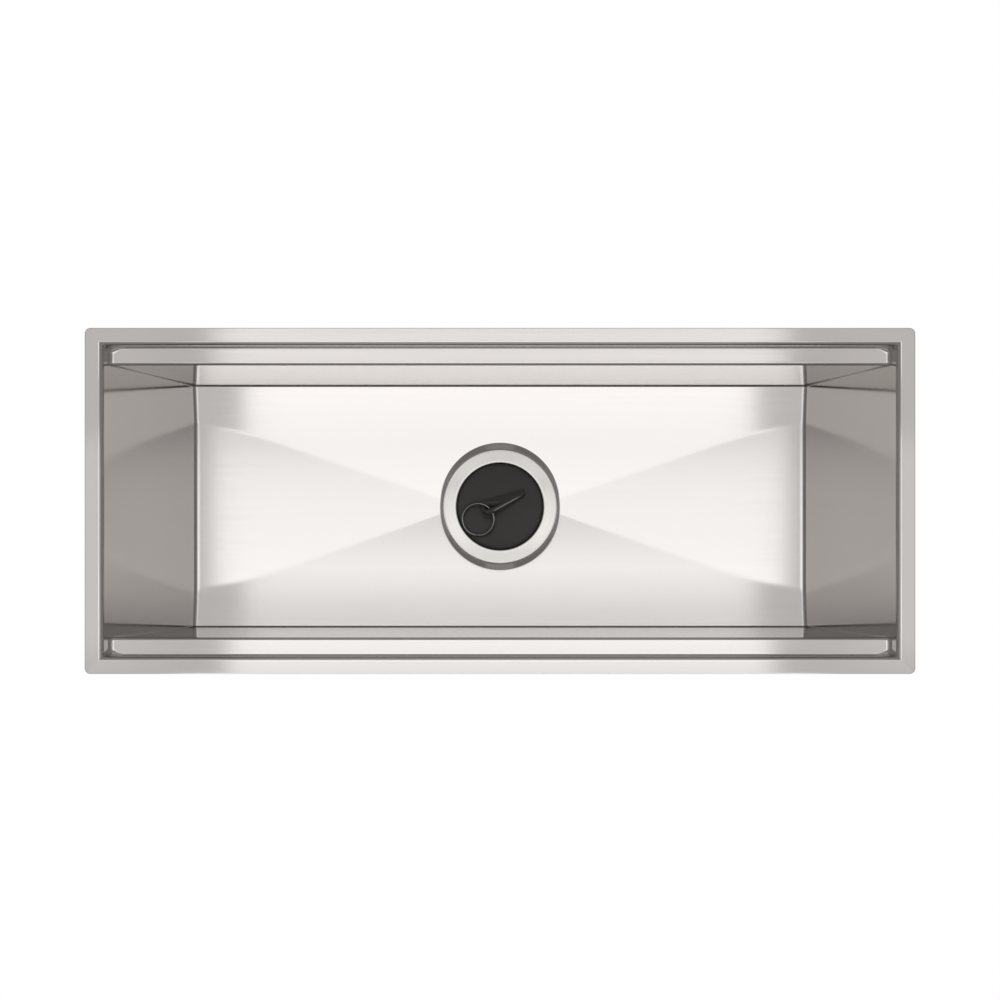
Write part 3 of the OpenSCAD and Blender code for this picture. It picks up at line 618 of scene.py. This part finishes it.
for turn, thick in wires:
    for around in np.linspace(0, 2 * math.pi, WIRE_SIDES, endpoint=False):
        out = RING_R + thick * math.cos(around)
        x, y, z = RING_R + out * math.cos(turn), out * math.sin(turn), thick * math.sin(around)
        x, z = (x * math.cos(RING_TILT) + z * math.sin(RING_TILT),
                -x * math.sin(RING_TILT) + z * math.cos(RING_TILT))
        points.append((EYE[0] + x * math.cos(RING_AZIMUTH) - y * math.sin(RING_AZIMUTH),
                       EYE[1] + x * math.sin(RING_AZIMUTH) + y * math.cos(RING_AZIMUTH), EYE[2] + z))
wire = mesh_piece("ring_wire", points, join_loops(len(wires), WIRE_SIDES, False), wire_steel, 50)
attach(wire, "ring")
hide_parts("pull_ring")

# Rim seal
# Strips of black closed-cell foam stuck under the flange, which seal it to the worktop.
# Soft and dull, with a skin of small burst cells, 1 mm across.
SEAL_INSET, SEAL_WIDE, SEAL_THICK, SEAL_CORNER, SEAL_EASE = 2.0, 8.0, 2.0, 0.5, 0.4
GROOVE_HALF, GROOVE_FLAT, GROOVE_DEPTH, GROOVE_START, GROOVE_CLEAR, GLUE = 1.5, 0.9, 0.5, 5.0, 8, 0.2
foam, tree, principled = shader("foam_closed_cell_black")
place = add(tree, "TexCoord").outputs["Object"]
cells = add(tree, "TexVoronoi", {"Vector": place, "Scale": 900.0}).outputs["Distance"]
shade = add(tree, "ValToRGB", {0: cells})
for stop, colour in zip(shade.color_ramp.elements, ("1F1F1F", "3A3A3A")):
    stop.color = linear(colour)
bump = add(tree, "Bump", {"Height": cells, "Strength": 0.6, "Distance": 0.0003}).outputs[0]
feed(tree, principled, {"Base Color": shade.outputs[0], "Roughness": 0.9, "Normal": bump})


def glued_sheet(name, place, length, height, thick, corner, ease, pitch, material):
    """A sheet with rounded corners, eased edges and pressed grooves; place puts (u, v, w) in the sink."""
    half_u, half_v = length / 2, height / 2
    ends = half_u - corner + corner * np.sin(np.radians(np.linspace(0, 90, 9)))
    last = int((ends[0] - GROOVE_CLEAR) / pitch) if pitch else -1
    grooves = np.arange(-last, last + 1) * float(pitch)
    edges = (-GROOVE_HALF, -GROOVE_FLAT, GROOVE_FLAT, GROOVE_HALF)
    steps = np.r_[np.array([0.0, 0.15, 0.5, 1.0]) * ease, GROOVE_START, GROOVE_START + 1,
                  np.arange(12.0, half_v - corner, 7.0)]
    steps = steps[steps < half_v - corner]
    columns = []
    for u in np.unique(np.r_[-ends, [g + d for g in grooves for d in edges], ends]):
        half = half_v - corner + math.sqrt(max(0.0, corner ** 2 - max(0.0, abs(u) - ends[0]) ** 2))
        groove = [min(1.0, (GROOVE_HALF - abs(u - g)) / (GROOVE_HALF - GROOVE_FLAT)) for g in grooves]
        groove = GROOVE_DEPTH * max([0.0] + groove)
        column = []
        for v in np.r_[steps - half, (half - steps)[::-1]]:
            over_u, over_v = abs(u) - half_u + corner, abs(v) - half_v + corner
            inside = corner - math.hypot(max(over_u, 0.0), max(over_v, 0.0)) - min(max(over_u, over_v), 0.0)
            round_off = ease - math.sqrt(max(0.0, ease ** 2 - (ease - min(inside, ease)) ** 2))
            w = thick - round_off - groove * min(1.0, max(0.0, inside - GROOVE_START))
            column.append((place(u, v, w), place(u, v, -GLUE)))
        columns.append(column)
    return two_faced(name, list(zip(*columns)), material)


seal_x, seal_y = RIM_X - SEAL_INSET - SEAL_WIDE / 2, RIM_Y - SEAL_INSET - SEAL_WIDE / 2
for side, names in ((1, ("rim_foam_back", "rim_foam_right")), (-1, ("rim_foam_front", "rim_foam_left"))):
    for name, place, length in (
            (names[0], lambda u, v, w: (u, side * seal_y + v, -SHEET - w), 2 * (RIM_X - SEAL_INSET)),
            (names[1], lambda u, v, w: (side * seal_x + v, u, -SHEET - w), 2 * seal_y - SEAL_WIDE)):
        strip = glued_sheet(name, place, length, SEAL_WIDE, SEAL_THICK, SEAL_CORNER, SEAL_EASE, 0, foam)
        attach(strip, "sink")
        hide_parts("rim_seal")

# Sound pads
# Dark grey damping sheets glued to the outside of the walls and floor, to deaden the sound of water.
# Filled butyl rubber: dull, pebbled 2 mm apart, with pale specks of filler and faint clouds of 55 mm.
PAD_THICK, PAD_CORNER, PAD_EASE, GROOVE_PITCH = 3.0, 8.0, 1.0, 23.0
LONG_PAD, LONG_PAD_Z, END_PAD, END_PAD_DOWN = (460.0, 90.0), -111.0, (170.0, 100.0), 100.0
FLOOR_PAD, FLOOR_PAD_X = (206.0, 192.0), 179.0
pad_rubber, tree, principled = shader("butyl_rubber_filled_grey")
place = add(tree, "TexCoord").outputs["Object"]
pebbles = add(tree, "TexNoise", {"Vector": place, "Scale": 420.0, "Detail": 4.0}).outputs[0]
clouds = add(tree, "TexNoise", {"Vector": place, "Scale": 18.0, "Detail": 3.0}).outputs[0]
specks = add(tree, "TexVoronoi", {"Vector": place, "Scale": 350.0}).outputs["Distance"]
specks = add(tree, "MapRange", {"Value": specks, "From Min": 0.05, "From Max": 0.14,
                                "To Min": 1.0, "To Max": 0.0}).outputs[0]
base = add(tree, "ValToRGB", {0: clouds})
for stop, colour in zip(base.color_ramp.elements, ("47494B", "54575A")):
    stop.color = linear(colour)
mixed = add(tree, "Mix", data_type="RGBA")
feed(tree, mixed, {0: specks, 6: base.outputs[0], 7: linear("66696B")})
rough = add(tree, "MapRange", {"Value": pebbles, "To Min": 0.65, "To Max": 0.85}).outputs[0]
bump = add(tree, "Bump", {"Height": pebbles, "Strength": 0.9, "Distance": 0.0004}).outputs[0]
feed(tree, principled, {"Base Color": mixed.outputs[2], "Roughness": rough, "Normal": bump})


def on_long(side, u, v, w):
    """A place on the outside of a long wall: along it, up it and out of it."""
    return (u, side * (WALL_Y + SHEET + w), LONG_PAD_Z + v)


def on_end(side, u, v, w):
    """A place on the outside of an end wall: along it, up it and out of it."""
    out, up = SHEET + w, v - END_PAD_DOWN
    return (side * (OPEN_X + out * math.cos(LEAN) + up * math.sin(LEAN)), u,
            up * math.cos(LEAN) - out * math.sin(LEAN))


def under_floor(side, u, v, w):
    """A place under the floor: along the sink, across it and down from the steel."""
    x = side * FLOOR_PAD_X + u
    return (x, v, float(floor_height(x, v)) - SHEET - w)


for side, nodes in ((1, ("back_pad", "right_end_pad", "floor_pad_right")),
                    (-1, ("front_pad", "left_end_pad", "floor_pad_left"))):
    for node, lie, size in zip(nodes, (on_long, on_end, under_floor), (LONG_PAD, END_PAD, FLOOR_PAD)):
        pad = glued_sheet(node + "_pressed", lambda u, v, w: lie(side, u, v, w), *size,
                          PAD_THICK, PAD_CORNER, PAD_EASE, GROOVE_PITCH, pad_rubber)
        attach(pad, "sink")
        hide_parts(node)

# Clips
# Eight worktop clips: a bracket on the wall, a threaded bolt, a claw that swings out and a wing nut.
# Pressed steel, zinc plated: grey, clouded blue and yellow every 8 mm, with soft highlights.
CLIP_PITCH, CLIP_Y, BRACKET_Z, CLAW_Z = 180.0, 130.0, -24.0, -38.0
BOLT_R, BOLT_FOOT, BOLT_PITCH, BOLT_DEPTH = 2.5, -62.0, 0.8, 0.42
zinc_plate, tree, principled = shader("steel_zinc_plated")
place = add(tree, "TexCoord").outputs["Object"]
clouds = add(tree, "TexNoise", {"Vector": place, "Scale": 130.0, "Detail": 3.0}).outputs[0]
grain = add(tree, "TexNoise", {"Vector": place, "Scale": 1800.0, "Detail": 3.0}).outputs[0]
tint = add(tree, "ValToRGB", {0: clouds})
for stop, at, colour in zip(tint.color_ramp.elements, (0.35, 0.65), ("B4BAC2", "C6C3B6")):
    stop.position, stop.color = at, linear(colour)
rough = add(tree, "MapRange", {"Value": grain, "To Min": 0.26, "To Max": 0.44}).outputs[0]
bump = add(tree, "Bump", {"Height": grain, "Strength": 0.3, "Distance": 0.00002}).outputs[0]
feed(tree, principled, {"Base Color": tint.outputs[0], "Metallic": 1.0, "Roughness": rough, "Normal": bump})


def finish_part(node, material, bevel):
    """Gives a part that keeps its CAD shape its material, and eases its edges by a bevel in mm."""
    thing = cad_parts[node]
    if not thing.material_slots:
        thing.data.materials.append(material)
    for slot in thing.material_slots:
        slot.material = material
    eased = thing.modifiers.new("eased_edges", "BEVEL")
    eased.width, eased.segments = bevel * 0.001, 2
    eased.limit_method, eased.angle_limit = "ANGLE", math.radians(40)


finish_part("clip_brackets", zinc_plate, 0.4)
for side in ("back", "front"):
    for number in range(1, 5):
        finish_part(f"claw_{side}_{number}", zinc_plate, 0.4)


def at_clips(name, shapes, node):
    """One piece from shapes of points and faces in millimetres, repeated at each of the eight clips."""
    points, faces = [], []
    for y in (-CLIP_Y, CLIP_Y):
        for x in np.array([-1.5, -0.5, 0.5, 1.5]) * CLIP_PITCH:
            for shape, sides in shapes:
                faces += [tuple(k + len(points) for k in face) for face in sides]
                points += [(px + x, py + y, pz) for px, py, pz in shape]
    piece = mesh_piece(name, points, faces, zinc_plate, 30)
    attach(piece, "sink")
    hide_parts(node)


head = [(4.2, BRACKET_Z), (4.6, BRACKET_Z + 0.3), (4.6, BRACKET_Z + 2.9), (4.0, BRACKET_Z + 3.5)]
shank = screw_thread(BOLT_R, BOLT_FOOT, BRACKET_Z, BOLT_PITCH, BOLT_DEPTH, 0.0, 20)
at_clips("clip_bolt_threaded", [turned(head, 6, False), shank], "clip_bolts")
hub = [(2.5, -43.0), (4.3, -43.0), (4.8, -42.5), (4.8, -38.5), (4.5, CLAW_Z), (2.5, CLAW_Z)]
# A wing's outline (x, z), and the share of it that is left at each layer (y) through the wing.
WING = [(3.6, -39.6), (6.0, -39.1), (8.4, -39.1), (10.0, -39.7), (10.9, -41.2), (11.0, -43.2), (10.7, -45.2),
        (9.7, -46.6), (8.2, -47.0), (6.8, -46.4), (5.8, -44.9), (4.9, -43.3), (3.6, -42.7)]
LAYERS = ((-1.0, 0.86), (-0.85, 0.96), (-0.5, 1.0), (0.5, 1.0), (0.85, 0.96), (1.0, 0.86))
nut = [turned(hub, 32)]
middle = np.mean(WING, axis=0)
for side in (-1, 1):
    points = [(side * (middle[0] + (x - middle[0]) * share), y, middle[1] + (z - middle[1]) * share)
              for y, share in LAYERS for x, z in WING]
    nut.append((points, join_loops(len(LAYERS), len(WING), False)))
at_clips("clip_wing_nut", nut, "clip_nuts")

# Waste fixings
# Under the floor a lugged nut draws the waste up on its seals; the upper seal lies under its flange.
# Nitrile rubber, matt, with a faint bloom in patches of 6 mm; pressed fibre; nickel-plated cast zinc.
seal_rubber, tree, principled = shader("nitrile_rubber_moulded")
place = add(tree, "TexCoord").outputs["Object"]
bloom = add(tree, "TexNoise", {"Vector": place, "Scale": 160.0, "Detail": 4.0}).outputs[0]
shade = add(tree, "ValToRGB", {0: bloom})
for stop, colour in zip(shade.color_ramp.elements, ("232323", "363534")):
    stop.color = linear(colour)
bump = add(tree, "Bump", {"Height": bloom, "Strength": 0.2, "Distance": 0.0001}).outputs[0]
feed(tree, principled, {"Base Color": shade.outputs[0], "Roughness": 0.6, "Normal": bump})
for node in ("waste_seal", "waste_washer", "tailpiece_washer"):
    finish_part(node, seal_rubber, 0.3)

# Brown pressed fibre, with wavy streaks 1 to 2 mm wide.
fibre, tree, principled = shader("fibre_pressed_brown")
place = add(tree, "TexCoord").outputs["Object"]
hairs = add(tree, "TexNoise", {"Vector": place, "Scale": 700.0, "Detail": 5.0, "Roughness": 0.7,
                               "Distortion": 1.5}).outputs[0]
shade = add(tree, "ValToRGB", {0: hairs})
for stop, colour in zip(shade.color_ramp.elements, ("7A5936", "A27E55")):
    stop.color = linear(colour)
bump = add(tree, "Bump", {"Height": hairs, "Strength": 0.4, "Distance": 0.0001}).outputs[0]
feed(tree, principled, {"Base Color": shade.outputs[0], "Roughness": 0.8, "Normal": bump})
finish_part("friction_ring", fibre, 0.15)

# Cast zinc under dull nickel: a slightly grainy skin, 2 mm from grain to grain.
cast_zinc, tree, principled = shader("zinc_cast_nickel_plated")
place = add(tree, "TexCoord").outputs["Object"]
skin = add(tree, "TexNoise", {"Vector": place, "Scale": 500.0, "Detail": 4.0}).outputs[0]
tint = add(tree, "ValToRGB", {0: skin})
for stop, colour in zip(tint.color_ramp.elements, ("AFAB9F", "C3BFB4")):
    stop.color = linear(colour)
rough = add(tree, "MapRange", {"Value": skin, "To Min": 0.3, "To Max": 0.5}).outputs[0]
bump = add(tree, "Bump", {"Height": skin, "Strength": 0.4, "Distance": 0.0001}).outputs[0]
feed(tree, principled, {"Base Color": tint.outputs[0], "Metallic": 1.0, "Roughness": rough, "Normal": bump})
finish_part("waste_locknut", cast_zinc, 0.5)

# Strainer
# A perforated plate on the cup's shoulder, held by a slotted screw into a spider brazed in the outlet.
# Stainless steel, polished round like the cup.
finish_part("strainer_plate", steel_round, 0.15)
finish_part("strainer_screw", steel_round, 0.2)
finish_part("outlet_spider", steel_round, 0.3)

# Outlet
# A threaded spigot brazed under the cup, and a thin tube that a ribbed union nut draws up to it.
# Stainless steel, polished round; the nut is cast zinc.
SPIGOT_R, OUTLET_R, SPIGOT_TOP, SPIGOT_FOOT = 23.9, 20.2, -236.0, -259.0
TAIL_R, TAIL_WALL, TAIL_FOOT = 19.05, 1.2, -340.0
spigot = screw_thread(SPIGOT_R, SPIGOT_FOOT, SPIGOT_TOP, PIPE_PITCH, PIPE_DEPTH, OUTLET_R, 96)
spigot = mesh_piece("spigot_threaded", *spigot, steel_round, 20)
tube = [(TAIL_R - TAIL_WALL, TAIL_FOOT + 0.4), (TAIL_R - 0.9, TAIL_FOOT), (TAIL_R - 0.3, TAIL_FOOT),
        (TAIL_R, TAIL_FOOT + 0.3), (TAIL_R, -269.2), (TAIL_R - 0.1, -268.6), (TAIL_R - 0.3, -268.1),
        (TAIL_R - 0.35, -268), (TAIL_R - 0.35, -262.5), (22.4, -262.5), (22.8, -262.1), (22.8, -261.3),
        (22.5, -261), (18.6, -261), (TAIL_R - TAIL_WALL, -261.8)]
tail = mesh_piece("tailpiece_tube", *turned(tube, 96), steel_round)
for piece, node in ((spigot, "waste_spigot"), (tail, "tailpiece")):
    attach(piece, "sink")
    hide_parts(node)
finish_part("coupling_nut", cast_zinc, 0.5)

# Floor, light and camera
# White floor under the sink, large soft lights overhead and a plain grey room round it.
# Each light has its left, right, near and far edge and its height, in metres, and the grey it mirrors as.
LIGHTS = {
    "softbox_front_edge": (-1.00, 1.00, -0.55, -0.35, 4.10, 0.54),
    "softbox_near": (-1.00, 1.00, -0.35, -0.15, 4.10, 0.65),
    "softbox_middle": (-1.01, 1.01, -0.15, 0.36, 4.10, 0.48),
    "softbox_strip": (-1.065, 1.065, 0.58, 0.80, 4.10, 0.61),
    "softbox_front": (-1.20, 1.20, -1.30, -0.80, 4.10, 0.80),
    "softbox_back": (-1.01, 1.01, 0.90, 1.30, 4.10, 0.26),
    "softbox_wide": (-1.90, 1.90, -0.45, 0.35, 4.16, 0.12),
    "softbox_over": (-1.02, 1.02, -0.85, 1.00, 4.22, 0.14),
    "softbox_left": (-10.50, -8.27, -3.90, 1.02, 10.0, 0.45),
    "softbox_left_inner": (-8.27, -6.70, -3.90, 1.02, 10.0, 0.33),
    "softbox_right": (8.27, 10.50, -3.90, 1.02, 10.0, 0.45),
    "softbox_right_inner": (6.70, 8.27, -3.90, 1.02, 10.0, 0.33),
}
CARD_WIDE, CARD_TALL, CARD_Y, CARD_Z, CARD_LEVEL = 2.0, 3.35, 4.0, 1.325, 0.14


def area_light(name, shape, wide, deep, level, place, tilt=0.0):
    """A soft light that faces down, or is tilted about the X axis."""
    light = bpy.data.lights.new(name, "AREA")
    light.shape, light.size, light.size_y = shape, wide, deep
    light.energy = math.pi * light.size * light.size_y * level
    lamp = bpy.data.objects.new(name, light)
    lamp.location, lamp.rotation_euler = place, (tilt, 0, 0)
    bpy.context.scene.collection.objects.link(lamp)
    return lamp


for name, (left, right, near, far, high, level) in LIGHTS.items():
    place = ((left + right) / 2, (near + far) / 2, high)
    area_light(name, "RECTANGLE", right - left, far - near, level, place)
for name, side in (("card_front", -1), ("card_back", 1)):
    place = (0, CARD_Y * side, CARD_Z)
    area_light(name, "RECTANGLE", CARD_WIDE, CARD_TALL, CARD_LEVEL, place, math.pi / 2 * -side)
for name, high, back, size, energy in (("fill_top", 3.9, 0.0, 6.0, 40), ("fill_back", 3.9, 2.0, 2.4, 80)):
    fill = area_light(name, "DISK", size, size, 0.0, (0, back, high), -math.atan2(back, high))
    fill.data.energy, fill.visible_glossy = energy, False

world = bpy.data.worlds.new("room")
world.use_nodes = True
bpy.context.scene.world = world
tree = world.node_tree
room = tree.nodes["Background"]
height = add(tree, "SeparateXYZ", {0: add(tree, "TexCoord").outputs["Generated"]}).outputs[2]
upward = add(tree, "MapRange", {"Value": height, "From Min": -1.0, "From Max": 1.0}).outputs[0]
ramp = add(tree, "ValToRGB", {0: upward})
# The room's grey from straight down, 0, past the horizon, 0.5, to straight up, 1.
GREYS = ((0.0, 0.60), (0.495, 0.60), (0.5, 0.16), (0.59, 0.22), (0.78, 0.22), (0.85, 0.19), (0.91, 0.27),
         (0.965, 0.53), (0.981, 0.63), (0.9895, 0.47), (1.0, 0.46))
for at, _ in GREYS[1:-1]:
    ramp.color_ramp.elements.new(at)
for stop, (_, level) in zip(ramp.color_ramp.elements, GREYS):
    stop.color = (level, level, level, 1)
feed(tree, room, {"Color": ramp.outputs[0]})
white = add(tree, "Background", {"Color": (1, 1, 1, 1), "Strength": 1.0})
seen = add(tree, "LightPath").outputs["Is Camera Ray"]
mixed = add(tree, "MixShader", {0: seen, 1: room.outputs[0], 2: white.outputs[0]})
feed(tree, tree.nodes["World Output"], {"Surface": mixed.outputs[0]})

FLOOR, FLOOR_HALF = -350.0, 700
stage_white, tree, principled = shader("backdrop_white")
rays = add(tree, "LightPath").outputs
seen = rays["Is Camera Ray"]
for kind in ("Is Glossy Ray", "Is Transmission Ray"):
    seen = add(tree, "Math", {0: seen, 1: rays[kind]}, operation="MAXIMUM").outputs[0]
feed(tree, principled, {"Base Color": linear("FFFFFF"), "Roughness": 1.0})
glow = add(tree, "Emission", {"Strength": 1.0})
mixed = add(tree, "MixShader", {0: seen, 1: principled.outputs[0], 2: glow.outputs[0]})
feed(tree, tree.nodes["Material Output"], {"Surface": mixed.outputs[0]})
corners = [(x * FLOOR_HALF, y * FLOOR_HALF, FLOOR) for x, y in ((-1, -1), (1, -1), (1, 1), (-1, 1))]
ground = mesh_piece("backdrop", corners, [(0, 1, 2, 3)], stage_white)

EYE_Y, EYE_Z, LENS, SHIFT, SENSOR = -0.037, 1.271, 52.8, 0.0436, 36.0
view = bpy.data.cameras.new("camera")
view.lens, view.sensor_width, view.shift_y = LENS, SENSOR, SHIFT
view.clip_start, view.clip_end = 0.05, 50
camera = bpy.data.objects.new("camera", view)
camera.location = (0, EYE_Y, EYE_Z)
bpy.context.scene.collection.objects.link(camera)
bpy.context.scene.camera = camera
bpy.context.scene.view_settings.view_transform = "Standard"
